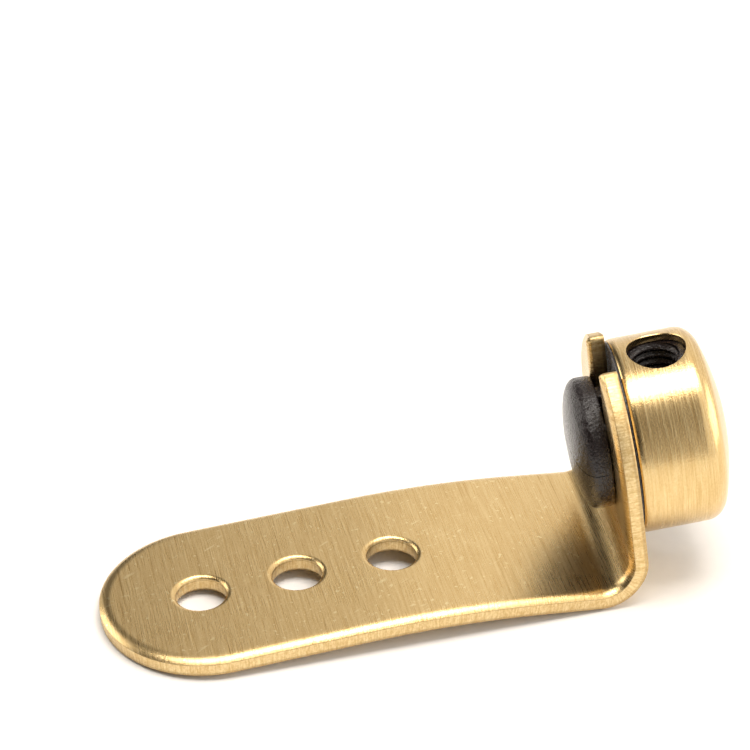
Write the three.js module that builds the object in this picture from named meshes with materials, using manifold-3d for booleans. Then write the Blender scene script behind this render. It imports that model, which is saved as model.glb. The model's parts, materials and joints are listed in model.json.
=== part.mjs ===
// Angle bracket with a swivelling rod nut.
//
// A stamped brass plate has a long foot with three screw holes, and a short upright flange with a slot
// that is open at the top. A moulded nut hangs in the slot by its neck. Its button head lies on the inner
// side of the flange, and its threaded core, under a drawn brass cup, on the outer side. A threaded rod
// runs through the cup and the core, along the flange, and the nut swivels as far as a rib on its neck
// lets it turn between the two prongs of the slot. Millimetres, +Z up, the foot along X.

import * as THREE from 'three';
import { mergeVertices } from 'three/addons/utils/BufferGeometryUtils.js';
import Module from 'manifold-3d';

const wasm = await Module();
wasm.setup();

const DEGREE = Math.PI / 180;

// ---- driving dimensions ----

// the plate
const plateWidth = 25;
const plateThickness = 2.1;
const footLength = 62.1; // from the round tip to the inside corner, along the middle
const holeDiameter = 5.9;
const firstHoleFromTip = 11.65;
const holePitch = 11.4;
const holeCount = 3;

// how the plate is bent; every bend runs along the same skewed direction
const bendSkew = 10.1 * DEGREE; // from square across the foot
const tipSlope = 2.9 * DEGREE; // the holed flat rises away from the tip
const heelSlope = -5.8 * DEGREE; // and the plate falls again towards the heel
const archStart = 30; // from the tip
const archLength = 20.2;
const bendInnerRadius = 2.95;
const flangeLean = 9.6 * DEGREE; // the flange leans in over the foot

// the flange
const pivotHeight = 13; // from the inside corner, up the inner face
const slotWidth = 6.9;

// the moulded nut
const headRadius = 7.8;
const headSeatRadius = 7.2;
const headHeight = 4.1; // from the flange's inner face to the crown
const headWidest = 1.2; // how far out from that face the head is widest
const neckClearance = 0.3; // round the neck in the slot
const runningGap = 0.3; // between the nut and each face of the flange
const ribThickness = 2.2;
const ribReach = 6.7; // from the swivel axis to the rib's top
const boreRadius = 2.75; // thread M6, drawn plain
const boreFromFlange = 4.85; // bore's middle line from the flange's outer face

// the drawn cup
const cupRadius = 11.5;
const cupWall = 0.9;
const cupRimGap = 0.4; // from the flange's outer face to the rim
const cupWallLength = 7.8; // from the rim to where the edge starts to round
const cupEdgeRadius = 2.4;
const cupEndSlope = 20 * DEGREE; // of the domed end, where it meets the rounded edge
const cupHoleRadius = 3.43;
const cupHoleFromFlange = 5.3;
const coreGap = 0.3; // between the core and the cup

// facets
const circleSides = 48;
const cupSides = 72;
const archSteps = 6;
const bendSteps = 12;

// ---- materials ----

const brushedBrass = new THREE.MeshStandardMaterial({ color: 0xc9a76a, roughness: 0.38, metalness: 1 });
const cupBrass = new THREE.MeshStandardMaterial({ color: 0xd2ac66, roughness: 0.33, metalness: 1 });
const blackPlastic = new THREE.MeshStandardMaterial({ color: 0x2e2a2c, roughness: 0.5, metalness: 0 });

// ---- helpers ----

function closedSolid(geometry) {
  const bare = geometry.index ? geometry.toNonIndexed() : geometry;
  bare.deleteAttribute('normal');
  bare.deleteAttribute('uv');
  const merged = mergeVertices(bare, 1e-4);
  return new wasm.Manifold(new wasm.Mesh({
    numProp: 3,
    vertProperties: Float32Array.from(merged.attributes.position.array),
    triVerts: Uint32Array.from(merged.index.array),
  }));
}

function geometryOf(solid) {
  const mesh = solid.getMesh();
  const geometry = new THREE.BufferGeometry();
  geometry.setAttribute('position', new THREE.BufferAttribute(Float32Array.from(mesh.vertProperties), 3));
  geometry.setIndex(new THREE.BufferAttribute(Uint32Array.from(mesh.triVerts), 1));
  return geometry;
}

function namedMesh(name, geometry, material) {
  geometry.computeVertexNormals();
  const mesh = new THREE.Mesh(geometry, material);
  mesh.name = name;
  return mesh;
}

// A turned solid about the Z axis, from [radius, z] points that start and end on the axis.
function turnedSolid(points, sides) {
  const profile = points.map(([radius, z]) => new THREE.Vector2(radius, z));
  const geometry = new THREE.LatheGeometry(profile, sides);
  geometry.rotateX(Math.PI / 2);
  return closedSolid(geometry);
}

// A plain rod along Y, its middle on the swivel axis at the given z.
function crossRod(radius, z) {
  const geometry = new THREE.CylinderGeometry(radius, radius, 4 * cupRadius, circleSides);
  geometry.translate(0, 0, z);
  return closedSolid(geometry);
}

// Evenly spaced numbers from one to another, both included.
function evenSteps(from, to, steps) {
  return Array.from({ length: steps + 1 }, (_, i) => from + ((to - from) * i) / steps);
}

// Points on a quarter of an ellipse, from angle zero to a right angle, both ends included.
function quarterEllipse(centre, halfSpan, halfHeight, steps) {
  return Array.from({ length: steps + 1 }, (_, i) => {
    const angle = (i / steps) * (Math.PI / 2);
    return [centre[0] + halfSpan * Math.cos(angle), centre[1] + halfHeight * Math.sin(angle)];
  });
}

// ---- the plate's side profile ----

// Stations are distances along the middle of the plate's thickness, square to the bends, from the tip.
const cornerStation = footLength * Math.cos(bendSkew);
const bendAngle = Math.PI / 2 + flangeLean - heelSlope;
const tangentLength = bendInnerRadius * Math.tan(bendAngle / 2);
const middleRadius = bendInnerRadius + plateThickness / 2;
const bendStart = cornerStation - tangentLength;
const bendEnd = bendStart + middleRadius * bendAngle;
const pivotStation = bendEnd + pivotHeight - tangentLength;
const halfWidth = plateWidth / 2;

const stretches = [
  { from: 0, to: archStart, turn: 0 },
  { from: archStart, to: archStart + archLength, turn: heelSlope - tipSlope },
  { from: archStart + archLength, to: bendStart, turn: 0 },
  { from: bendStart, to: bendEnd, turn: bendAngle },
  { from: bendEnd, to: Infinity, turn: 0 },
];

// Where the middle of the plate is at a station: how far along, how high, and which way it points.
function profileAt(station) {
  let along = 0;
  let up = 0;
  let heading = tipSlope;
  for (const { from, to, turn } of stretches) {
    const length = Math.min(station, to) - from;
    if (length <= 0 && from > 0) break;
    const turned = turn === 0 ? 0 : turn * (length / (to - from));
    const chord = turned === 0 ? length : (2 * length / turned) * Math.sin(turned / 2);
    along += chord * Math.cos(heading + turned / 2);
    up += chord * Math.sin(heading + turned / 2);
    heading += turned;
  }
  return { along, up, heading };
}

// The directions square to the bends and along them.
const squareDirection = new THREE.Vector3(Math.cos(bendSkew), -Math.sin(bendSkew), 0);
const bendDirection = new THREE.Vector3(Math.sin(bendSkew), Math.cos(bendSkew), 0);
const skewOffset = footLength * Math.sin(bendSkew);

// A point of the flat blank (station, distance along the bends, height over the middle) in the bent plate.
function bentPoint(station, across, height) {
  const { along, up, heading } = profileAt(station);
  const point = squareDirection.clone().multiplyScalar(along - height * Math.sin(heading));
  point.addScaledVector(bendDirection, across + skewOffset);
  point.z = up + height * Math.cos(heading);
  return point;
}

// ---- the flat blank ----

// A point of the foot (x from the tip, y from the middle) in the blank's own directions.
function blankPoint(x, y) {
  const station = x * Math.cos(bendSkew) - y * Math.sin(bendSkew);
  const across = (x - footLength) * Math.sin(bendSkew) + y * Math.cos(bendSkew);
  return [station, across];
}

// Where a side of the blank is at a station: skewed along the foot, square to the bends up the flange.
function sidePoint(station, side) {
  const footSide = side * halfWidth / Math.cos(bendSkew) + (station - cornerStation) * Math.tan(bendSkew);
  return new THREE.Vector2(station, Math.min(side * halfWidth, footSide));
}

function tipShape() {
  const shape = new THREE.Shape([sidePoint(archStart, -1), sidePoint(archStart, 1)]);
  const [station, across] = blankPoint(halfWidth, 0);
  shape.absarc(station, across, halfWidth, 0.5 * Math.PI + bendSkew, 1.5 * Math.PI + bendSkew, false);
  return shape;
}

function stripShape(from, to) {
  return new THREE.Shape([sidePoint(from, -1), sidePoint(to, -1), sidePoint(to, 1), sidePoint(from, 1)]);
}

function flangeShape() {
  const slotHalf = slotWidth / 2;
  const prongAngle = Math.asin(slotHalf / halfWidth);
  const quarter = Math.PI / 2;
  const shape = new THREE.Shape([sidePoint(bendEnd, 1), sidePoint(bendEnd, -1)]);
  shape.absarc(pivotStation, 0, halfWidth, -quarter, -prongAngle, false);
  shape.absarc(pivotStation, 0, slotHalf, -quarter, quarter, true);
  shape.absarc(pivotStation, 0, halfWidth, prongAngle, quarter, false);
  return shape;
}

// The triangles of a region of the blank, without the walls where it meets the next region.
function regionPoints(shape, seams) {
  const geometry = new THREE.ExtrudeGeometry(shape, {
    depth: plateThickness,
    bevelEnabled: false,
    curveSegments: circleSides / 2,
  });
  geometry.translate(0, 0, -plateThickness / 2);
  const position = geometry.attributes.position;
  const points = Array.from({ length: position.count }, (_, i) => (
    new THREE.Vector3().fromBufferAttribute(position, i)
  ));
  return points.filter((_, i) => {
    const triangle = points.slice(i - (i % 3), i - (i % 3) + 3);
    return !seams.some((station) => triangle.every((point) => Math.abs(point.x - station) < 1e-4));
  });
}

// ---- the three pieces ----

function screwHole(index) {
  const [station, across] = blankPoint(firstHoleFromTip + index * holePitch, 0);
  const rod = new THREE.CylinderGeometry(holeDiameter / 2, holeDiameter / 2, 4 * plateThickness, circleSides);
  rod.rotateX(Math.PI / 2);
  rod.rotateY(-profileAt(station).heading);
  rod.rotateZ(-bendSkew);
  rod.translate(...bentPoint(station, across, 0).toArray());
  return closedSolid(rod);
}

// The round tip, a strip for every facet of the bends, and the slotted flange, bent and joined.
function bracketPlate() {
  const seams = [
    ...evenSteps(archStart, archStart + archLength, archSteps),
    ...evenSteps(bendStart, bendEnd, bendSteps),
  ];
  const strips = seams.slice(1).map((station, i) => stripShape(seams[i], station));
  const regions = [tipShape(), ...strips, flangeShape()];
  const blank = regions.flatMap((shape) => regionPoints(shape, seams));
  const bent = blank.map((point) => bentPoint(point.x, point.y, point.z));
  let plate = closedSolid(new THREE.BufferGeometry().setFromPoints(bent));
  for (let i = 0; i < holeCount; i += 1) {
    plate = plate.subtract(screwHole(i));
  }
  return namedMesh('bracket_plate', geometryOf(plate), brushedBrass);
}

// The nut and the cup are drawn with Z along the swivel axis, out of the flange, from its inner face,
// and Y along the rod.

function nutHead() {
  const crown = quarterEllipse([0, headWidest], headRadius, headHeight - headWidest, 10);
  const outward = [[0, runningGap], [headSeatRadius, runningGap], ...crown];
  return turnedSolid(outward.map(([radius, z]) => [radius, -z]).reverse(), circleSides);
}

function nutNeck() {
  const neckRadius = slotWidth / 2 - neckClearance;
  const overlap = 0.5;
  const length = plateThickness + 2 * (runningGap + overlap);
  const neck = new THREE.CylinderGeometry(neckRadius, neckRadius, length, circleSides);
  neck.rotateX(Math.PI / 2);
  neck.translate(0, 0, plateThickness / 2);
  const rib = new THREE.BoxGeometry(ribThickness, ribReach, length);
  rib.translate(0, ribReach / 2, plateThickness / 2);
  return closedSolid(neck).add(closedSolid(rib));
}

function nutCore() {
  const start = plateThickness + runningGap;
  return turnedSolid([[0, start], ...cupSkin(cupWall + coreGap, start)], cupSides);
}

function swivelNut() {
  const bore = crossRod(boreRadius, plateThickness + boreFromFlange);
  const nut = nutHead().add(nutNeck()).add(nutCore()).subtract(bore);
  return namedMesh('swivel_nut', geometryOf(nut), blackPlastic);
}

// The cup's outline at a depth under its outer skin, from the rim to the crown: a straight wall, a round
// edge, and a part of a sphere that carries on from the edge without a crease.
function cupSkin(depth, rim) {
  const centreRadius = cupRadius - cupEdgeRadius;
  const centreZ = plateThickness + cupRimGap + cupWallLength;
  const edgeRadius = cupEdgeRadius - depth;
  const edge = evenSteps(0, Math.PI / 2 - cupEndSlope, 6).map((angle) => (
    [centreRadius + edgeRadius * Math.cos(angle), centreZ + edgeRadius * Math.sin(angle)]
  ));
  const sphereRadius = edgeRadius + centreRadius / Math.sin(cupEndSlope);
  const sphereZ = centreZ - centreRadius / Math.tan(cupEndSlope);
  const dome = evenSteps(Math.PI / 2 - cupEndSlope, Math.PI / 2, 6).slice(1).map((angle) => (
    [sphereRadius * Math.cos(angle), sphereZ + sphereRadius * Math.sin(angle)]
  ));
  dome[dome.length - 1][0] = 0;
  return [[cupRadius - depth, rim], ...edge, ...dome];
}

function brassCup() {
  const rim = plateThickness + cupRimGap;
  const outside = cupSkin(0, rim);
  const inside = cupSkin(cupWall, rim);
  const shell = turnedSolid([...outside, ...inside.reverse(), outside[0]], cupSides);
  const holes = crossRod(cupHoleRadius, plateThickness + cupHoleFromFlange);
  return namedMesh('brass_cup', geometryOf(shell.subtract(holes)), cupBrass);
}

// ---- the whole object ----

const flangeHeading = profileAt(pivotStation).heading;
const rodDirection = squareDirection.clone().multiplyScalar(Math.cos(flangeHeading));
rodDirection.z = Math.sin(flangeHeading);
const axisDirection = bendDirection.clone().cross(rodDirection);

const nutFrame = new THREE.Group();
const nutBasis = new THREE.Matrix4().makeBasis(bendDirection, rodDirection, axisDirection);
nutFrame.setRotationFromMatrix(nutBasis);
nutFrame.position.copy(bentPoint(pivotStation, 0, plateThickness / 2));
nutFrame.add(swivelNut(), brassCup());

const object = new THREE.Group();
object.add(bracketPlate(), nutFrame);

// The origin is under the middle of the whole object, on the surface that it stands on.
const bounds = new THREE.Box3().setFromObject(object, true);
const middle = bounds.getCenter(new THREE.Vector3());
object.position.set(-middle.x, -middle.y, -bounds.min.z);

export default object;
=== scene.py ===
"""The looks of an angle bracket with a swivelling rod nut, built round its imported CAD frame.

The plate is drawn as a flat blank with punched edges and then bent, and the nut and its cup are drawn
about the swivel axis. Shapes are worked out in millimetres and turned into metres when a mesh is made.
Every piece keeps its undistorted millimetre coordinates in a mesh attribute, and the materials follow
that, so brush marks run along the bends of the plate and round the cup.
"""

import json
import math

import bmesh
import bpy
import numpy as np
from mathutils import Matrix, Vector


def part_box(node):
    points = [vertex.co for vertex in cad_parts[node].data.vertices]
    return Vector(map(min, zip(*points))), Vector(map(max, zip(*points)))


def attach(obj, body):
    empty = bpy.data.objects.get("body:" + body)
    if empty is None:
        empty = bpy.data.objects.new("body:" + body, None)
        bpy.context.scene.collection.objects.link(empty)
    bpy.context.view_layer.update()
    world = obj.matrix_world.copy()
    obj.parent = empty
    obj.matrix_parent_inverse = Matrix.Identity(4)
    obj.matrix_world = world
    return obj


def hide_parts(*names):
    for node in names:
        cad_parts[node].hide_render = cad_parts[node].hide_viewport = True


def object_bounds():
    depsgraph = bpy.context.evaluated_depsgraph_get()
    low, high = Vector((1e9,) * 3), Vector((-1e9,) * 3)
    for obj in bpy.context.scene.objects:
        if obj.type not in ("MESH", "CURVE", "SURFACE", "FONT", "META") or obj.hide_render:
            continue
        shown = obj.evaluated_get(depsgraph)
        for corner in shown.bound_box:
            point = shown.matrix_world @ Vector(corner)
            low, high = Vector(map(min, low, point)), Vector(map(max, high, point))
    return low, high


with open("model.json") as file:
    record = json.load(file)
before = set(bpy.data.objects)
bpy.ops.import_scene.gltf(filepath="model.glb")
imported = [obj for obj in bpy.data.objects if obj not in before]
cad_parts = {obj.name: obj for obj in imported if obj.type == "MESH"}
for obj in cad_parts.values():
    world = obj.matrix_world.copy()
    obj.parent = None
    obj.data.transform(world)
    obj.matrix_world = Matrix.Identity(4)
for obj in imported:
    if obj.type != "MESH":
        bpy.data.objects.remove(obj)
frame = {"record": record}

CAD_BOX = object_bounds()
MM = 0.001

# ---- what the frame says ----

SWIVEL = next(joint for joint in frame["record"]["behaviour"]["joints"] if joint["name"] == "nut_swivel")
PIVOT = Vector(SWIVEL["pos_m"]) / MM
SWIVEL_AXIS = Vector(SWIVEL["axis"]).normalized()
BEND_SKEW = math.atan2(-SWIVEL_AXIS.y, SWIVEL_AXIS.x)
FLANGE_LEAN = math.asin(SWIVEL_AXIS.z)
SQUARE_DIRECTION = Vector((math.cos(BEND_SKEW), -math.sin(BEND_SKEW), 0))
BEND_DIRECTION = Vector((math.sin(BEND_SKEW), math.cos(BEND_SKEW), 0))
ROD_DIRECTION = SWIVEL_AXIS.cross(BEND_DIRECTION)

# ---- the plate, in millimetres ----

PLATE_WIDTH = 25
PLATE_THICKNESS = 2.1
FOOT_LENGTH = 62.1
HOLE_DIAMETER = 5.9
FIRST_HOLE = 11.65
HOLE_PITCH = 11.4
HOLE_COUNT = 3
TIP_SLOPE = math.radians(2.9)
HEEL_SLOPE = math.radians(-5.8)
ARCH_START = 30
ARCH_LENGTH = 20.2
BEND_INNER_RADIUS = 2.95
PIVOT_HEIGHT = 13  # up the flange from the foot's corner
SLOT_WIDTH = 6.9
PRONG_CORNER_RADIUS = 0.45
KINK_SOFTNESS = 0.08  # rounds the sides where the foot runs into the flange
ARCH_CUTS = 24
BEND_CUTS = 36
CUT_TOLERANCE = 1e-4
ARC_STEP = 0.3
FEWEST_ARC_POINTS = 13

# how punching leaves the edges: rolled on the upper side, a score line, a sheared wall, a lower chamfer
ROLL_WIDTH = 1.5
ROLL_DEPTH = 0.5
HOLE_ROLL_WIDTH = 0.6
HOLE_ROLL_DEPTH = 0.26
ROLL_POWER = 2.4  # how late the face turns down towards the edge
ROLL_STEPS = 12
PRONG_ROLL_SHARE = 0.25  # at the prongs' corners the roll has this share of its width,
PRONG_ROLL_REACH = 2.5  # and over this distance it grows to all of it
SCORE_DEPTH = 0.03
SCORE_STEP = 0.03  # its upper side, its floor and its lower side are each this high
OUTER_CHAMFER = 0.14
HOLE_CHAMFER = 0.3
CHAMFER_START = (0.01, 1.6)  # how far in, in millimetres, and how high, as a share of the chamfer
CHAMFER_MIDDLE = (0.35, 0.9)  # both as shares of the chamfer
PLATE_SHARP_ANGLE = 25  # edges that turn by more degrees than this are shaded as sharp

# ---- the nut and the cup, in millimetres ----

# the head, a button on the inner side of the flange
HEAD_RADIUS = 7.78
HEAD_HEIGHT = 4.05
HEAD_WIDEST = 1.6
HEAD_SEAT_RADIUS = 7.6
HEAD_SEAT_BORDER = 0.3  # a ring of faces at the edge of the flat seat
HEAD_FULLNESS = 2.4  # 2 is an ellipse, more is squarer
SEAT_POINTS = 9
DOME_POINTS = 40
PARTING_HEIGHT = 0.6  # the mould's parting plane over the swivel axis
PARTING_WIDTH = 0.09
PARTING_FLOOR = 0.988  # the floor of the groove is the head at this scale

# the neck in the slot, with its rib
FACE_GAP = 0.14  # between the nut and each face of the flange
NECK_RADIUS = 3.15
NECK_SIDES = 64
NECK_OVERLAP = 0.6  # how far the neck runs into the head and the core
RIB_THICKNESS = 2.15
RIB_REACH = 6.95
RIB_BEVEL = 0.18
RIB_OVERLAP = 1.0  # how far the rib runs into the head

# the core under the cup, with its collar, and the thread across it
COLLAR_RADIUS = 11.3
COLLAR_BEVEL_IN = 0.1
COLLAR_BEVEL_UP = 0.05
COLLAR_GAP = 0.06  # between the collar and the cup's rim
CORE_RADIUS = 10.5
BORE_FROM_FLANGE = 4.85  # from the flange's outer face to the bore's axis
THREAD_ROOT = 2.95
THREAD_CREST = 2.6
THREAD_PITCH = 1.0
THREAD_FLAT = 0.1  # the width of the flats at crest and root, as a share of the pitch
THREAD_SIDES = 72
THREAD_STEPS = 10  # rings in each pitch
THREAD_OVERRUN = 0.5  # how far the thread's cutter reaches past the cup
COUNTERSINK_DEPTH = 0.9
COUNTERSINK_GROWTH = 0.1
NUT_SHARP_ANGLE = 50

# the cup, a shell pressed over the core
CUP_RADIUS = 11.48
CUP_WALL = 0.85
CUP_RIM_GAP = 0.42
CUP_WALL_END = 8.2  # where the edge starts to round, from the flange's outer face
CUP_EDGE_RADIUS = 2.4
CUP_EDGE_POINTS = 14
CUP_END_SLOPE = math.radians(20)
CUP_END_POINTS = 22
CUP_RIM_ROLL = 0.28
CUP_RIM_ROLL_HEIGHT = 0.75
CUP_RIM_ROLL_START = math.radians(15)
CUP_RIM_POINTS = 7
CUP_RIM_BEVEL_IN = 0.12
CUP_RIM_BEVEL_UP = 0.08
CUP_HOLE_RADIUS = 3.43
CUP_HOLE_FROM_FLANGE = 5.3  # from the flange's outer face to the hole's axis
CUP_HOLE_CHAMFER = 0.08
CUP_HOLE_SIDES = 96
PLUG_DEPTH = 0.3  # how far the chamfer's cutter reaches below the chamfer,
PLUG_HEIGHT = 0.5  # and how far it stands out of the cup
CUP_SHARP_ANGLE = 32

OVERRUN = 1  # how far the other cutters reach past what they cut
LATHE_SIDES = 144


# ---- meshes ----


def make_object(name, bm):
    """An object from a bmesh, which is used up. Its faces are made to look outwards."""
    bmesh.ops.recalc_face_normals(bm, faces=bm.faces)
    mesh = bpy.data.meshes.new(name)
    bm.to_mesh(mesh)
    bm.free()
    piece = bpy.data.objects.new(name, mesh)
    bpy.context.scene.collection.objects.link(piece)
    return piece


def skin_rings(bm, rings, edge_from=None):
    """Joins each ring to the next with quads. From the ring edge_from on they take the second material."""
    for level, (upper, lower) in enumerate(zip(rings, rings[1:])):
        for i, vertex in enumerate(upper):
            j = (i + 1) % len(upper)
            face = bm.faces.new((vertex, lower[i], lower[j], upper[j]))
            if edge_from is not None and level >= edge_from:
                face.material_index = 1


def skin_rod(bm, rings):
    """A closed rod through its rings, with flat ends."""
    skin_rings(bm, rings)
    for ring in (rings[0], rings[-1]):
        bm.faces.new(ring)


def close_to_point(bm, ring, point):
    """Closes a ring with a fan of triangles."""
    pole = bm.verts.new(point)
    for i, vertex in enumerate(ring):
        bm.faces.new((pole, vertex, ring[(i + 1) % len(ring)]))


def angles_round(sides):
    """Evenly spread angles round a full turn."""
    return [2 * math.pi * i / sides for i in range(sides)]


def lathe(profile, sides=LATHE_SIDES):
    """A turned body about Z from (radius, z) points, its ends on the axis."""
    bm = bmesh.new()
    rings = [
        [bm.verts.new((radius * math.cos(a), radius * math.sin(a), z)) for a in angles_round(sides)]
        for radius, z in profile[1:-1]
    ]
    skin_rings(bm, rings)
    close_to_point(bm, rings[0], (0, 0, profile[0][1]))
    close_to_point(bm, rings[-1], (0, 0, profile[-1][1]))
    return bm


def cutter_along_rod(name, bm, from_flange):
    """A cutter drawn about Y, moved out to the bore's or the hole's height over the flange."""
    bmesh.ops.translate(bm, verts=bm.verts, vec=(0, 0, PLATE_THICKNESS + from_flange))
    return make_object(name, bm)


def combine(piece, other, operation):
    """Joins or cuts one piece with another, which is used up."""
    modifier = piece.modifiers.new("cut", "BOOLEAN")
    modifier.object = other
    modifier.operation = operation
    modifier.solver = "EXACT"
    apply_modifiers(piece)
    bpy.data.objects.remove(other)


def apply_modifiers(piece):
    """Turns a piece's modifiers into its mesh."""
    depsgraph = bpy.context.evaluated_depsgraph_get()
    old = piece.data
    piece.data = bpy.data.meshes.new_from_object(piece.evaluated_get(depsgraph))
    piece.modifiers.clear()
    piece.data.name = piece.name
    bpy.data.meshes.remove(old)


def coordinates(piece):
    """Where a piece's vertices are, as rows of an array."""
    values = np.empty(len(piece.data.vertices) * 3)
    piece.data.vertices.foreach_get("co", values)
    return values.reshape(-1, 3)


def keep_coordinates(piece):
    """Stores each vertex's place before it is bent or turned, in millimetres, for the materials."""
    stored = piece.data.attributes.new("own_mm", "FLOAT_VECTOR", "POINT")
    stored.data.foreach_set("vector", coordinates(piece).ravel())


def set_coordinates(piece, values):
    """Moves a piece's vertices to the rows of an array."""
    piece.data.vertices.foreach_set("co", np.asarray(values, float).ravel())
    piece.data.update()


def sharpen(piece, degrees):
    """Marks the edges that turn by more than an angle as sharp."""
    bm = bmesh.new()
    bm.from_mesh(piece.data)
    for edge in bm.edges:
        if len(edge.link_faces) == 2:
            edge.smooth = edge.calc_face_angle() < math.radians(degrees)
    bm.to_mesh(piece.data)
    bm.free()


def finish_piece(piece, node, body, materials):
    """Smooth shading, materials, the body it rides on and the CAD node it replaces."""
    piece.data.shade_smooth()
    even = piece.modifiers.new("even_shading", "WEIGHTED_NORMAL")
    even.mode = "FACE_AREA"
    even.keep_sharp = True
    for material in materials:
        piece.data.materials.append(material)
    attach(piece, body)
    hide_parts(node)


# ---- the plate ----

CORNER_STATION = FOOT_LENGTH * math.cos(BEND_SKEW)
SKEW_OFFSET = FOOT_LENGTH * math.sin(BEND_SKEW)
BEND_ANGLE = math.pi / 2 + FLANGE_LEAN - HEEL_SLOPE
TANGENT_LENGTH = BEND_INNER_RADIUS * math.tan(BEND_ANGLE / 2)
BEND_START = CORNER_STATION - TANGENT_LENGTH
BEND_END = BEND_START + (BEND_INNER_RADIUS + PLATE_THICKNESS / 2) * BEND_ANGLE
PIVOT_STATION = BEND_END + PIVOT_HEIGHT - TANGENT_LENGTH
HALF_WIDTH = PLATE_WIDTH / 2
STRETCHES = (  # where each stretch of the plate starts and ends, and how far it turns upwards
    (0, ARCH_START, 0),
    (ARCH_START, ARCH_START + ARCH_LENGTH, HEEL_SLOPE - TIP_SLOPE),
    (ARCH_START + ARCH_LENGTH, BEND_START, 0),
    (BEND_START, BEND_END, BEND_ANGLE),
    (BEND_END, PIVOT_STATION + PLATE_WIDTH, 0),
)


def profile_at(station):
    """How far along and how high the middle of the plate is at a station, and which way it points."""
    along, up, heading = 0, 0, TIP_SLOPE
    for start, end, turn in STRETCHES:
        length = np.minimum(station, end) - start
        if start > 0:
            length = np.maximum(length, 0)
        turned = turn * length / (end - start)
        middle = heading + turned / 2
        chord = length * np.sinc(turned / (2 * math.pi))
        along = along + chord * np.cos(middle)
        up = up + chord * np.sin(middle)
        heading = heading + turned
    return along, up, heading


def bend(blank):
    """Points of the flat blank (station, across, height over the middle) in the bent plate."""
    station, across, height = blank.T
    along, up, heading = profile_at(station)
    square = along - height * np.sin(heading)
    bent = np.outer(square, SQUARE_DIRECTION) + np.outer(across + SKEW_OFFSET, BEND_DIRECTION)
    bent[:, 2] = up + height * np.cos(heading)
    return bent


def blank_point(x, y):
    """A point of the foot (x from the tip, y from the middle) in the blank's own directions."""
    station = x * math.cos(BEND_SKEW) - y * math.sin(BEND_SKEW)
    across = (x - FOOT_LENGTH) * math.sin(BEND_SKEW) + y * math.cos(BEND_SKEW)
    return np.array((station, across))


def arc(centre, radius, start, end):
    """Points of a circular arc, both ends included."""
    count = max(FEWEST_ARC_POINTS, int(abs(end - start) * radius / ARC_STEP))
    angles = np.linspace(start, end, count)
    return centre + radius * np.stack((np.cos(angles), np.sin(angles)), 1)


def blank_side(start, end, side):
    """A long side of the blank: skewed along the foot, square to the bends up the flange."""
    station = np.linspace(start, end, int(abs(end - start) / ARC_STEP))[1:-1]
    foot = side * HALF_WIDTH / math.cos(BEND_SKEW) + (station - CORNER_STATION) * math.tan(BEND_SKEW)
    flange = side * HALF_WIDTH
    across = -KINK_SOFTNESS * np.logaddexp(-foot / KINK_SOFTNESS, -flange / KINK_SOFTNESS)
    return np.stack((station, across), 1)


def blank_outline():
    """The blank's outline, anticlockwise from the start of the round tip."""
    quarter = math.pi / 2
    pivot = np.array((PIVOT_STATION, 0))
    tip_centre = blank_point(HALF_WIDTH, 0)
    tip = arc(tip_centre, HALF_WIDTH, quarter + BEND_SKEW, 3 * quarter + BEND_SKEW)
    slot_half = SLOT_WIDTH / 2
    corner_across = slot_half + PRONG_CORNER_RADIUS
    corner_up = math.sqrt((HALF_WIDTH - PRONG_CORNER_RADIUS) ** 2 - corner_across**2)
    corner_angle = math.atan2(corner_across, corner_up)
    near = pivot + (corner_up, -corner_across)
    far = pivot + (corner_up, corner_across)
    return np.concatenate((
        tip,
        blank_side(tip[-1][0], PIVOT_STATION, -1),
        arc(pivot, HALF_WIDTH, -quarter, -corner_angle),
        arc(near, PRONG_CORNER_RADIUS, -corner_angle, quarter)[1:],
        arc(pivot, slot_half, -quarter, -3 * quarter),
        arc(far, PRONG_CORNER_RADIUS, -quarter, corner_angle),
        arc(pivot, HALF_WIDTH, corner_angle, quarter)[1:],
        blank_side(PIVOT_STATION, tip[0][0], 1),
    ))


def outward_normals(points):
    """For each point of an anticlockwise loop, the direction out of the material."""
    edges = np.roll(points, -1, 0) - points
    right = np.stack((edges[:, 1], -edges[:, 0]), 1)
    right /= np.linalg.norm(right, axis=1)[:, None]
    both = right + np.roll(right, 1, 0)
    return both / np.linalg.norm(both, axis=1)[:, None]


def edge_profile(roll_width, roll_depth, chamfer):
    """The punched edge from the upper face to the lower, as (how far in, height over the middle)."""
    top = PLATE_THICKNESS / 2
    shares = np.linspace(0, 1, ROLL_STEPS + 1)
    roll = [(roll_width * (1 - share), top - roll_depth * share**ROLL_POWER) for share in shares]
    wall = top - roll_depth
    score = [
        (SCORE_DEPTH, wall - SCORE_STEP),
        (SCORE_DEPTH, wall - 2 * SCORE_STEP),
        (0, wall - 3 * SCORE_STEP),
    ]
    lower = [
        (CHAMFER_START[0], -top + CHAMFER_START[1] * chamfer),
        (CHAMFER_MIDDLE[0] * chamfer, -top + CHAMFER_MIDDLE[1] * chamfer),
        (chamfer, -top),
    ]
    return roll + score + lower


def roll_shares(points):
    """How much of its full width the roll has at each point of the outline."""
    corner_up = math.sqrt(HALF_WIDTH**2 - (SLOT_WIDTH / 2) ** 2)
    corners = [np.array((PIVOT_STATION + corner_up, side * SLOT_WIDTH / 2)) for side in (-1, 1)]
    distance = np.minimum(*[np.linalg.norm(points - corner, axis=1) for corner in corners])
    growth = np.clip(distance / PRONG_ROLL_REACH, 0, 1)
    growth = growth**2 * (3 - 2 * growth)  # starts and ends gently
    return PRONG_ROLL_SHARE + (1 - PRONG_ROLL_SHARE) * growth


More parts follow.
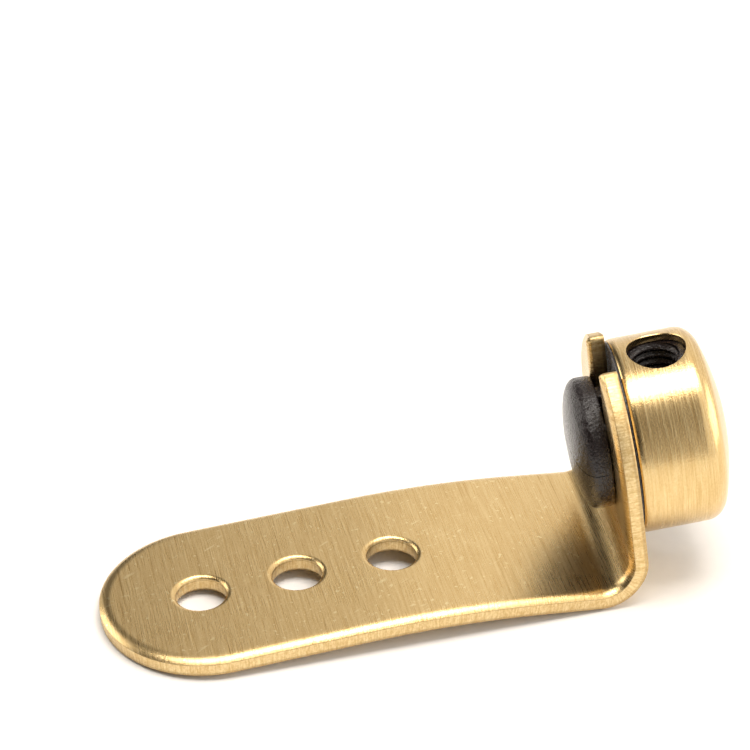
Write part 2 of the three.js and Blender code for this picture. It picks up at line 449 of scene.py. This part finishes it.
def plate_blank():
    """The flat blank with its three holes and its punched edges."""
    bm = bmesh.new()
    outline = blank_outline()
    outward = outward_normals(outline) * roll_shares(outline)[:, None]
    loops = [(outline, outward, edge_profile(ROLL_WIDTH, ROLL_DEPTH, OUTER_CHAMFER))]
    hole_edge = edge_profile(HOLE_ROLL_WIDTH, HOLE_ROLL_DEPTH, HOLE_CHAMFER)
    for i in range(HOLE_COUNT):
        centre = blank_point(FIRST_HOLE + i * HOLE_PITCH, 0)
        circle = arc(centre, HOLE_DIAMETER / 2, 2 * math.pi, 0)[:-1]
        loops.append((circle, outward_normals(circle), hole_edge))
    rims = ([], [])
    for points, outward, profile in loops:
        rings = [
            [bm.verts.new((*point, height)) for point in points - inset * outward]
            for inset, height in profile
        ]
        skin_rings(bm, rings, edge_from=ROLL_STEPS)
        rims[0].extend(rings[0])
        rims[1].extend(rings[-1])
    for rim in rims:
        on_rim = set(rim)
        edges = [e for e in bm.edges if e.verts[0] in on_rim and e.verts[1] in on_rim]
        bmesh.ops.triangle_fill(bm, use_beauty=True, use_dissolve=False, edges=edges)
    return bm


def cut_at_stations(bm):
    """Cuts the blank across wherever the plate will bend."""
    arch = np.linspace(ARCH_START, ARCH_START + ARCH_LENGTH, ARCH_CUTS + 1)
    corner = np.linspace(BEND_START, BEND_END, BEND_CUTS + 1)
    for station in (*arch, *corner):
        everything = bm.verts[:] + bm.edges[:] + bm.faces[:]
        bmesh.ops.bisect_plane(
            bm, geom=everything, dist=CUT_TOLERANCE, plane_co=(station, 0, 0), plane_no=(1, 0, 0)
        )


def bracket_plate(materials):
    """The bent plate, moved so that its pivot is where the frame has it."""
    bm = plate_blank()
    cut_at_stations(bm)
    plate = make_object("brass_bracket", bm)
    keep_coordinates(plate)
    sharpen(plate, PLATE_SHARP_ANGLE)
    pivot_on_blank = np.array(((PIVOT_STATION, 0, 0),))
    shift = np.array(PIVOT) - bend(pivot_on_blank)[0]
    set_coordinates(plate, (bend(coordinates(plate)) + shift) * MM)
    finish_piece(plate, "bracket_plate", "bracket", materials)


# ---- the nut and the cup ----


def place_on_axis(piece):
    """Puts a piece in place that was drawn with Z out of the flange's inner face and Y along the rod."""
    keep_coordinates(piece)
    basis = Matrix((BEND_DIRECTION, ROD_DIRECTION, SWIVEL_AXIS)).transposed().to_4x4()
    inner_face = PIVOT - SWIVEL_AXIS * PLATE_THICKNESS / 2
    piece.data.transform(Matrix.Scale(MM, 4) @ Matrix.Translation(inner_face) @ basis)


def nut_head():
    """The button head: a full dome over a rounded seat."""
    points = [(0, -FACE_GAP), (HEAD_SEAT_RADIUS - HEAD_SEAT_BORDER, -FACE_GAP)]
    for angle in np.linspace(-math.pi / 2, 0, SEAT_POINTS)[:-1]:
        radius = HEAD_SEAT_RADIUS + (HEAD_RADIUS - HEAD_SEAT_RADIUS) * math.cos(angle)
        points.append((radius, -HEAD_WIDEST - (HEAD_WIDEST - FACE_GAP) * math.sin(angle)))
    power = 2 / HEAD_FULLNESS
    dome_height = HEAD_HEIGHT - HEAD_WIDEST
    for angle in np.linspace(0, math.pi / 2, DOME_POINTS)[:-1]:
        radius = HEAD_RADIUS * math.cos(angle) ** power
        points.append((radius, -HEAD_WIDEST - dome_height * math.sin(angle) ** power))
    points.append((0, -HEAD_HEIGHT))
    return make_object("nut_head", lathe(points))


def nut_neck():
    """The round neck in the slot, between the head and the core."""
    start = -FACE_GAP - NECK_OVERLAP
    end = PLATE_THICKNESS + FACE_GAP + NECK_OVERLAP
    points = [(0, start), (NECK_RADIUS, start), (NECK_RADIUS, end), (0, end)]
    return make_object("nut_neck", lathe(points, NECK_SIDES))


def nut_rib():
    """The upright rib on the neck, with bevelled upper edges."""
    bm = bmesh.new()
    half = RIB_THICKNESS / 2
    section = [(-half, 0), (-half, RIB_REACH - RIB_BEVEL), (RIB_BEVEL - half, RIB_REACH)]
    section += [(half - RIB_BEVEL, RIB_REACH), (half, RIB_REACH - RIB_BEVEL), (half, 0)]
    start = -FACE_GAP - RIB_OVERLAP
    end = PLATE_THICKNESS + FACE_GAP + NECK_OVERLAP
    rings = [[bm.verts.new((x, y, z)) for x, y in section] for z in (start, end)]
    skin_rod(bm, rings)
    return make_object("nut_rib", bm)


def cup_end(depth):
    """The rounded edge and the domed end, at a depth under the cup's outer skin."""
    centre_radius = CUP_RADIUS - CUP_EDGE_RADIUS
    centre_z = PLATE_THICKNESS + CUP_WALL_END
    edge_radius = CUP_EDGE_RADIUS - depth
    dome_radius = edge_radius + centre_radius / math.sin(CUP_END_SLOPE)
    dome_z = centre_z - centre_radius / math.tan(CUP_END_SLOPE)
    meeting = math.pi / 2 - CUP_END_SLOPE
    edge = [
        (centre_radius + edge_radius * math.cos(a), centre_z + edge_radius * math.sin(a))
        for a in np.linspace(0, meeting, CUP_EDGE_POINTS)
    ]
    dome = [
        (dome_radius * math.cos(a), dome_z + dome_radius * math.sin(a))
        for a in np.linspace(meeting, math.pi / 2, CUP_END_POINTS)[1:-1]
    ]
    return edge + dome + [(0, dome_z + dome_radius)]


def nut_core():
    """The core under the cup, with a thin collar between the flange and the cup's rim."""
    start = PLATE_THICKNESS + FACE_GAP
    end = PLATE_THICKNESS + CUP_RIM_GAP - COLLAR_GAP
    collar = [
        (0, start),
        (COLLAR_RADIUS - COLLAR_BEVEL_IN, start),
        (COLLAR_RADIUS, start + COLLAR_BEVEL_UP),
        (COLLAR_RADIUS, end),
        (CORE_RADIUS, end),
    ]
    return make_object("nut_core", lathe(collar + cup_end(CUP_RADIUS - CORE_RADIUS)))


def thread_radius(y, turn):
    """How wide the thread's cutter is at a place along the rod and at a share of a turn."""
    wave = abs(((y / THREAD_PITCH - turn) % 1) * 2 - 1)
    depth = min(max((wave - THREAD_FLAT) / (1 - 2 * THREAD_FLAT), 0), 1)
    thread = THREAD_CREST + (THREAD_ROOT - THREAD_CREST) * depth
    into_mouth = max(0, abs(y) - (CORE_RADIUS - COUNTERSINK_DEPTH))
    return max(thread, min(THREAD_ROOT + COUNTERSINK_GROWTH, THREAD_CREST + into_mouth))


def thread_cutter():
    """A rod along Y with a screw thread on it, and a short countersink at both mouths."""
    bm = bmesh.new()
    reach = CUP_RADIUS + THREAD_OVERRUN
    count = int(2 * reach / THREAD_PITCH * THREAD_STEPS)
    rings = []
    for i in range(count + 1):
        y = -reach + 2 * reach * i / count
        ring = []
        for k, angle in enumerate(angles_round(THREAD_SIDES)):
            radius = thread_radius(y, k / THREAD_SIDES)
            ring.append(bm.verts.new((radius * math.cos(angle), y, radius * math.sin(angle))))
        rings.append(ring)
    skin_rod(bm, rings)
    return cutter_along_rod("thread_cutter", bm, BORE_FROM_FLANGE)


def parting_groove():
    """The cutter for the groove round the head, where the two halves of its mould met."""
    bm = bmesh.new()
    reach = HEAD_RADIUS + OVERRUN
    low, high = PARTING_HEIGHT - PARTING_WIDTH / 2, PARTING_HEIGHT + PARTING_WIDTH / 2
    start, end = -HEAD_HEIGHT - OVERRUN, -HEAD_WIDEST / 2
    section = [(low, start), (high, start), (high, end), (low, end)]
    rings = [[bm.verts.new((x, y, z)) for y, z in section] for x in (-reach, reach)]
    skin_rod(bm, rings)
    slab = make_object("parting_groove", bm)
    inner_head = nut_head()  # stays uncut, so the slab only cuts as deep as the groove
    inner_head.data.transform(Matrix.Scale(PARTING_FLOOR, 4))
    combine(slab, inner_head, "DIFFERENCE")
    return slab


def swivel_nut(materials):
    """The black nut: head, neck, rib and core in one moulding, threaded across for the rod."""
    nut = nut_head()
    nut.name = "black_swivel_nut"
    for addition in (nut_neck(), nut_rib(), nut_core()):
        combine(nut, addition, "UNION")
    for cutter in (thread_cutter(), parting_groove()):
        combine(nut, cutter, "DIFFERENCE")
    place_on_axis(nut)
    sharpen(nut, NUT_SHARP_ANGLE)
    finish_piece(nut, "swivel_nut", "rod_nut", materials)


def cup_hole_cutter():
    """A straight rod along Y that cuts the holes in both sides of the cup."""
    bm = bmesh.new()
    reach = CUP_RADIUS + OVERRUN
    rings = [
        [
            bm.verts.new((CUP_HOLE_RADIUS * math.cos(a), y, CUP_HOLE_RADIUS * math.sin(a)))
            for a in angles_round(CUP_HOLE_SIDES)
        ]
        for y in (-reach, reach)
    ]
    skin_rod(bm, rings)
    return cutter_along_rod("hole_cutter", bm, CUP_HOLE_FROM_FLANGE)


def chamfer_cutter(side):
    """A plug that widens outwards along the cup's round side, for the chamfer at one mouth of its hole."""
    bm = bmesh.new()
    ends = (
        (CUP_HOLE_RADIUS - PLUG_DEPTH, -CUP_HOLE_CHAMFER - PLUG_DEPTH),
        (CUP_HOLE_RADIUS + (CUP_HOLE_CHAMFER + PLUG_HEIGHT), PLUG_HEIGHT),
    )
    rings = []
    for radius, lift in ends:
        ring = []
        for angle in angles_round(CUP_HOLE_SIDES):
            x = radius * math.cos(angle)
            y = side * (math.sqrt(CUP_RADIUS**2 - x**2) + lift)
            ring.append(bm.verts.new((x, y, radius * math.sin(angle))))
        rings.append(ring)
    skin_rings(bm, rings)
    for ring, (_, lift) in zip(rings, ends):
        close_to_point(bm, ring, (0, side * (CUP_RADIUS + lift), 0))
    return cutter_along_rod("chamfer_cutter", bm, CUP_HOLE_FROM_FLANGE)


def brass_cup(materials):
    """The drawn cup: a thin shell with a rolled rim and a hole for the rod through both its sides."""
    rim = PLATE_THICKNESS + CUP_RIM_GAP
    roll = [
        (CUP_RADIUS - CUP_RIM_ROLL * (1 - math.sin(a)), rim + CUP_RIM_ROLL_HEIGHT * (1 - math.cos(a)))
        for a in np.linspace(CUP_RIM_ROLL_START, math.pi / 2, CUP_RIM_POINTS)
    ]
    inner_radius = CUP_RADIUS - CUP_WALL
    inner_rim = [(inner_radius, rim + CUP_RIM_BEVEL_UP), (inner_radius + CUP_RIM_BEVEL_IN, rim)]
    outside = roll + cup_end(0)
    inside = cup_end(CUP_WALL)
    cup = make_object("brass_cup_shell", lathe(list(reversed(inside)) + inner_rim + outside))
    combine(cup, cup_hole_cutter(), "DIFFERENCE")
    for side in (-1, 1):
        combine(cup, chamfer_cutter(side), "DIFFERENCE")
    place_on_axis(cup)
    sharpen(cup, CUP_SHARP_ANGLE)
    finish_piece(cup, "brass_cup", "rod_nut", materials)


# ---- materials ----


class Shader:
    """A node material, written as nested calls."""

    def __init__(self, name):
        self.material = bpy.data.materials.new(name)
        self.material.use_nodes = True
        self.tree = self.material.node_tree
        self.tree.nodes.clear()

    def connect(self, socket, value):
        """Feeds a socket from another one, or sets it to a plain value."""
        if isinstance(value, bpy.types.NodeSocket):
            self.tree.links.new(value, socket)
        else:
            socket.default_value = value

    def node(self, kind, inputs=(), **settings):
        """A new node, with its sockets by name or number and its settings."""
        node = self.tree.nodes.new(kind)
        for key, value in settings.items():
            setattr(node, key, value)
        for key, value in dict(inputs).items():
            self.connect(node.inputs[key], value)
        return node

    def math(self, operation, *values):
        return self.node("ShaderNodeMath", enumerate(values), operation=operation).outputs[0]

    def weighted(self, *terms):
        """The sum of values, each times its weight."""
        products = [self.math("MULTIPLY", value, weight) for value, weight in terms]
        total = products[0]
        for product in products[1:]:
            total = self.math("ADD", total, product)
        return total

    def distance(self, value, middle):
        """How far a value is from a number, either way."""
        return self.math("ABSOLUTE", self.math("SUBTRACT", value, middle))

    def own_coordinates(self):
        """The millimetre coordinates that the piece had before it was bent or turned."""
        return self.node("ShaderNodeAttribute", attribute_name="own_mm").outputs["Vector"]

    def split(self, vector):
        return self.node("ShaderNodeSeparateXYZ", {0: vector}).outputs

    def join(self, x, y, z):
        return self.node("ShaderNodeCombineXYZ", {0: x, 1: y, 2: z}).outputs[0]

    def stretch(self, vector, factors):
        return self.node("ShaderNodeVectorMath", {0: vector, 1: factors}, operation="MULTIPLY").outputs[0]

    def noise(self, vector, scale=1.0, detail=3.0, roughness=0.5):
        inputs = {"Vector": vector, "Scale": scale, "Detail": detail, "Roughness": roughness}
        return self.node("ShaderNodeTexNoise", inputs).outputs["Fac"]

    def spread(self, value, between, onto=(0, 1)):
        """Maps the values between two numbers evenly onto two others, and stops at both ends."""
        return self.node("ShaderNodeMapRange", enumerate((value, *between, *onto))).outputs[0]

    def mix(self, factor, first, second):
        """A colour mix: sockets 0, 6 and 7 are the node's factor and its two colours."""
        inputs = {0: factor, 6: first, 7: second}
        node = self.node("ShaderNodeMix", data_type="RGBA")
        for key, value in inputs.items():
            self.connect(node.inputs[key], value)
        return node.outputs[2]

    def bump(self, height, distance_mm, below=None):
        inputs = {"Height": height, "Distance": distance_mm * MM}
        if below is not None:
            inputs["Normal"] = below
        return self.node("ShaderNodeBump", inputs).outputs[0]

    def surface(self, **inputs):
        """The finished material. Socket names have an underscore for each space."""
        keys = {name.replace("_", " "): value for name, value in inputs.items()}
        principled = self.node("ShaderNodeBsdfPrincipled", keys)
        self.node("ShaderNodeOutputMaterial", {"Surface": principled.outputs[0]})
        return self.material


BRASS_PALE = (0.84, 0.68, 0.38, 1)
BRASS_LIGHT = (0.77, 0.585, 0.3, 1)
BRASS_MIDDLE = (0.59, 0.4, 0.165, 1)
BRASS_DARK = (0.32, 0.19, 0.07, 1)
PLASTIC_LIGHT = (0.02, 0.014, 0.014, 1)
PLASTIC_DARK = (0.009, 0.006, 0.006, 1)
# painted shade for the groove of the head's parting line
PLASTIC_GROOVE_SHADE = (0.004, 0.0035, 0.004, 1)
PAPER_LIGHT = (0.94, 0.94, 0.94, 1)
PAPER_DARK = (0.9, 0.9, 0.9, 1)

# a noise is mostly near 0.5: nearly all of it lies in the wide range, and most of it in the narrow one
WIDE = (0.3, 0.7)
NARROW = (0.36, 0.64)

# marks per millimetre along the strip, across it and through it
FINE_BRUSHING = (8, 0.22, 1)
DEEP_BRUSHING = (3, 0.07, 1)
SHEAR_MARKS = (5, 5, 0.7)
BRUSH_SLANT = 0.1  # how far along the strip a brush mark moves for each millimetre across it
SCRATCH_MARKS = (0.1, 1.1, 1)  # per millimetre along and across a scratch
SCRATCH_SLICE = 3  # the slice of the noise that the scratches are taken from,
PATCH_SLICE = 9  # and the one for the patches where they show
SCRATCH_COSINE = 0.8  # a scratch runs this much along the strip
SCRATCH_SINE = 0.6  # and this much across it
SCORE_HEIGHT = PLATE_THICKNESS / 2 - ROLL_DEPTH - 0.04  # near the score line's middle
# the torn part of the edge is darker, and ends between these heights over the strip's middle
BREAKOUT_HEIGHTS = (-0.35 * PLATE_THICKNESS, -0.25 * PLATE_THICKNESS)

# the first two are the radius of the circle in the noise that the marks follow round the cup, and the third
# is how many there are per millimetre along the cup's wall, or out from the middle of its end
TURNING_MARKS = (2.2, 2.2, 6)
TURNING_BANDS = (1, 1, 1.6)
CUP_MIDDLE_RADIUS = 0.5  # the marks lose their direction inside this radius

# heights out from the flange's inner face, where the head has negative ones
HEAD_BACK = (-0.2, 0.0)  # the painted shade in the parting line's groove ends between these
HEAD_FRONT = (-2.9, -3.4)  # and the head turns shinier between these


def brushed_plate():
    """Brass brushed across its width, with a few deeper lines, a fine grain, specks and scratches."""
    s = Shader("brushed_plate_brass")
    place = s.own_coordinates()
    station, across, height = s.split(place)
    brushing = s.join(s.weighted((station, 1), (across, BRUSH_SLANT)), across, height)
    fine = s.noise(s.stretch(brushing, FINE_BRUSHING), detail=4, roughness=0.65)
    lines = s.noise(s.stretch(brushing, DEEP_BRUSHING), detail=3, roughness=0.6)
    clouds = s.noise(place, scale=0.12, detail=3, roughness=0.5)
    grain = s.noise(place, scale=6, detail=2, roughness=0.6)
    tone = s.weighted((fine, 0.6), (lines, 0.4))
    tone = s.math("ADD", tone, s.spread(grain, WIDE, onto=(-0.07, 0.07)))
    colour = s.mix(s.spread(tone, NARROW), BRASS_MIDDLE, BRASS_LIGHT)
    colour = s.mix(s.spread(lines, (0.36, 0.26), onto=(0, 0.6)), colour, BRASS_DARK)
    specks = s.noise(place, scale=2.4, detail=0, roughness=0.5)
    colour = s.mix(s.spread(specks, (0.76, 0.8), onto=(0, 0.9)), colour, BRASS_PALE)
    colour = s.mix(scratches(s, station, across), colour, BRASS_PALE)
    rough = s.math(
        "ADD",
        s.spread(fine, WIDE, onto=(0.24, 0.33)),
        s.spread(clouds, (0.35, 0.65), onto=(-0.02, 0.03)),
    )
    normal = s.bump(s.weighted((fine, 1), (lines, 0.8)), 0.012)
    normal = s.bump(grain, 0.016, below=normal)
    return s.surface(Base_Color=colour, Metallic=1.0, Roughness=rough, Normal=normal)


def scratches(s, station, across):
    """Thin slanted lines where a stretched noise passes its middle, kept in a few patches only."""
    along_scratch = s.weighted((station, SCRATCH_COSINE), (across, SCRATCH_SINE))
    across_scratch = s.weighted((across, SCRATCH_COSINE), (station, -SCRATCH_SINE))
    slanted = s.join(along_scratch, across_scratch, SCRATCH_SLICE)
    veins = s.noise(s.stretch(slanted, SCRATCH_MARKS), detail=1, roughness=0.5)
    thin = s.spread(s.distance(veins, 0.5), (0.002, 0.012), onto=(1, 0))
    patches = s.noise(s.join(across, station, PATCH_SLICE), scale=0.35, detail=1, roughness=0.5)
    return s.math("MULTIPLY", thin, s.spread(patches, (0.56, 0.64), onto=(0, 0.8)))


def sheared_edge():
    """The punched edges: mottled brass with short marks through the thickness, and a dark score line."""
    s = Shader("sheared_edge_brass")
    place = s.own_coordinates()
    height = s.split(place)[2]
    marks = s.noise(s.stretch(place, SHEAR_MARKS), detail=3, roughness=0.6)
    mottle = s.noise(place, scale=3.2, detail=4, roughness=0.7)
    tone = s.weighted((marks, 0.5), (mottle, 0.5))
    colour = s.mix(s.spread(tone, (0.4, 0.62)), BRASS_MIDDLE, BRASS_PALE)
    score = s.spread(s.distance(height, SCORE_HEIGHT), (0.02, 0.05), onto=(0.7, 0))
    colour = s.mix(score, colour, BRASS_DARK)
    colour = s.mix(s.spread(height, BREAKOUT_HEIGHTS, onto=(0.45, 0)), colour, BRASS_DARK)
    rough = s.spread(mottle, WIDE, onto=(0.34, 0.5))
    return s.surface(Base_Color=colour, Metallic=1.0, Roughness=rough, Normal=s.bump(tone, 0.07))


def brushed_cup():
    """Brass with fine marks that run round the swivel axis, on the cup's wall and on its end."""
    s = Shader("turned_cup_brass")
    place = s.own_coordinates()
    x, y, z = s.split(place)
    radius = s.math("SQRT", s.math("ADD", s.math("MULTIPLY", x, x), s.math("MULTIPLY", y, y)))
    safe_radius = s.math("MAXIMUM", radius, CUP_MIDDLE_RADIUS)
    turning = s.join(
        s.math("DIVIDE", x, safe_radius),
        s.math("DIVIDE", y, safe_radius),
        s.math("SUBTRACT", z, radius),
    )
    fine = s.noise(s.stretch(turning, TURNING_MARKS), detail=4, roughness=0.65)
    wide = s.noise(s.stretch(turning, TURNING_BANDS), detail=3, roughness=0.6)
    grain = s.noise(place, scale=4.5, detail=2, roughness=0.6)
    tone = s.weighted((fine, 0.75), (wide, 0.25))
    tone = s.math("ADD", tone, s.spread(grain, WIDE, onto=(-0.06, 0.06)))
    colour = s.mix(s.spread(tone, NARROW), BRASS_MIDDLE, BRASS_LIGHT)
    rough = s.spread(fine, WIDE, onto=(0.2, 0.3))
    normal = s.bump(s.weighted((fine, 1), (wide, 0.3)), 0.007)
    normal = s.bump(grain, 0.012, below=normal)
    return s.surface(Base_Color=colour, Metallic=1.0, Roughness=rough, Normal=normal)


def moulded_plastic():
    """Charcoal plastic with a wrinkled grain, and painted shade that darkens the groove of the mould's
    parting line.
    """
    s = Shader("moulded_black_plastic")
    place = s.own_coordinates()
    _, y, z = s.split(place)
    peel = s.noise(place, scale=3.2, detail=3, roughness=0.55)
    grit = s.noise(place, scale=9, detail=2, roughness=0.6)
    wrinkles = s.noise(place, scale=1.1, detail=4, roughness=0.6)
    # painted shade: the parting line's groove is coloured darker, standing in for the shade that falls in
    # it
    groove = s.spread(s.distance(y, PARTING_HEIGHT), (0.5 * PARTING_WIDTH, PARTING_WIDTH), onto=(1, 0))
    groove = s.math("MULTIPLY", groove, s.spread(z, HEAD_BACK, onto=(0.95, 0)))
    colour = s.mix(s.spread(peel, WIDE), PLASTIC_DARK, PLASTIC_LIGHT)
    colour = s.mix(groove, colour, PLASTIC_GROOVE_SHADE)
    shine = s.spread(z, HEAD_FRONT, onto=(0, 0.1))
    rough = s.math("SUBTRACT", s.spread(peel, WIDE, onto=(0.2, 0.3)), shine)
    relief = s.weighted((peel, 0.9), (grit, 0.12), (wrinkles, 1.4))
    return s.surface(Base_Color=colour, Roughness=rough, Normal=s.bump(relief, 0.11))


# ---- floor, light and camera ----

FLOOR_HALF_SIZE = 1.5
FLOOR_DROP = 0.00002  # the floor lies this far under the object, in metres
PAPER_GRAIN = 900  # per metre
WARM_WHITE = (1, 0.94, 0.87)
LIGHTS = (  # name, place from the object's middle, width and height, all in metres, and watts
    ("overhead", (0, -0.02, 0.6), (0.55, 0.26), 3.5),
    ("from_right", (0.6, -0.22, 0.22), (0.5, 0.4), 1.5),
    ("from_left", (-0.5, 0.42, 0.28), (0.4, 0.4), 1.6),
)
BRIGHT_SIDE = (1, -0.1, 0)  # the room is bright on this side and dark on the other
ROOM_TURN = (-0.17, 0.2)  # how much a direction points that way where the dark ends and where it is bright
ROOM_STRENGTH = (0.04, 1.15)


def floor():
    """A sheet of pale paper just under the object."""
    bm = bmesh.new()
    corners = ((-1, -1), (1, -1), (1, 1), (-1, 1))
    bm.faces.new([bm.verts.new((FLOOR_HALF_SIZE * x, FLOOR_HALF_SIZE * y, 0)) for x, y in corners])
    sheet = make_object("floor", bm)
    sheet.location.z = CAD_BOX[0].z - FLOOR_DROP
    s = Shader("pale_paper")
    place = s.node("ShaderNodeTexCoord").outputs["Object"]
    colour = s.mix(s.noise(place, PAPER_GRAIN, detail=2, roughness=0.5), PAPER_DARK, PAPER_LIGHT)
    sheet.data.materials.append(s.surface(Base_Color=colour, Roughness=0.85))


def soft_box(name, place, target, size, watts):
    """A rectangular studio light that faces its target."""
    light = bpy.data.lights.new(name, "AREA")
    light.shape = "RECTANGLE"
    light.size, light.size_y = size
    light.energy = watts
    light.color = WARM_WHITE
    lamp = bpy.data.objects.new(name, light)
    lamp.location = place
    lamp.rotation_euler = (target - place).to_track_quat("-Z", "Y").to_euler()
    bpy.context.scene.collection.objects.link(lamp)


def studio_light():
    """The soft boxes, in a room that is bright on one side and dark on the other."""
    middle = (CAD_BOX[0] + CAD_BOX[1]) / 2
    for name, offset, size, watts in LIGHTS:
        soft_box(name, middle + Vector(offset), middle, size, watts)
    world = bpy.data.worlds.new("studio")
    world.use_nodes = True
    bpy.context.scene.world = world
    tree = world.node_tree
    tree.nodes.clear()
    place = tree.nodes.new("ShaderNodeTexCoord")
    towards = tree.nodes.new("ShaderNodeVectorMath")
    towards.operation = "DOT_PRODUCT"
    towards.inputs[1].default_value = BRIGHT_SIDE
    ramp = tree.nodes.new("ShaderNodeMapRange")
    ramp.interpolation_type = "SMOOTHSTEP"
    for index, value in enumerate((*ROOM_TURN, *ROOM_STRENGTH), start=1):
        ramp.inputs[index].default_value = value
    glow = tree.nodes.new("ShaderNodeBackground")
    glow.inputs["Color"].default_value = (*WARM_WHITE, 1)
    out = tree.nodes.new("ShaderNodeOutputWorld")
    tree.links.new(place.outputs["Generated"], towards.inputs[0])
    tree.links.new(towards.outputs["Value"], ramp.inputs[0])
    tree.links.new(ramp.outputs[0], glow.inputs["Strength"])
    tree.links.new(glow.outputs[0], out.inputs["Surface"])


CAMERA_AZIMUTH = math.radians(-17.58)
CAMERA_ELEVATION = math.radians(33.0)
CAMERA_ROLL = math.radians(1.27)
CAMERA_DISTANCE = 0.28265
CAMERA_CLIP = 0.01
CAMERA_LENS = 116.5
SENSOR_WIDTH = 36
AIM_FROM_TIP = 0.03057  # the camera's point of aim lies this far along the foot from its tip,
AIM_HEIGHT = 0.00197  # this high over the floor,
AIM_RIGHT = -0.02045  # and in the picture this part of its width right of the middle
AIM_DOWN = 0.26115  # and this part of its width below the middle


def camera():
    """The camera, at the photograph's angle and framing."""
    azimuth, elevation = CAMERA_AZIMUTH, CAMERA_ELEVATION
    back = Vector((
        math.sin(azimuth) * math.cos(elevation),
        -math.cos(azimuth) * math.cos(elevation),
        math.sin(elevation),
    ))
    level = Vector((math.cos(azimuth), math.sin(azimuth), 0))
    upright = back.cross(level)
    right = level * math.cos(CAMERA_ROLL) + upright * math.sin(CAMERA_ROLL)
    up = upright * math.cos(CAMERA_ROLL) - level * math.sin(CAMERA_ROLL)
    plate_low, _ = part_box("bracket_plate")
    aim = Vector((plate_low.x + AIM_FROM_TIP, 0, plate_low.z + AIM_HEIGHT))
    picture_width = CAMERA_DISTANCE * SENSOR_WIDTH / CAMERA_LENS
    aside = up * AIM_DOWN * picture_width - right * AIM_RIGHT * picture_width
    data = bpy.data.cameras.new("camera")
    data.lens = CAMERA_LENS
    data.sensor_width = SENSOR_WIDTH
    data.clip_start = CAMERA_CLIP
    cam = bpy.data.objects.new("camera", data)
    cam.location = aim + back * CAMERA_DISTANCE + aside
    cam.rotation_euler = Matrix((right, up, back)).transposed().to_euler()
    bpy.context.scene.collection.objects.link(cam)
    bpy.context.scene.camera = cam


camera()
floor()
studio_light()
bracket_plate([brushed_plate(), sheared_edge()])
swivel_nut([moulded_plastic()])
brass_cup([brushed_cup()])
bpy.context.scene.view_settings.view_transform = "Standard"
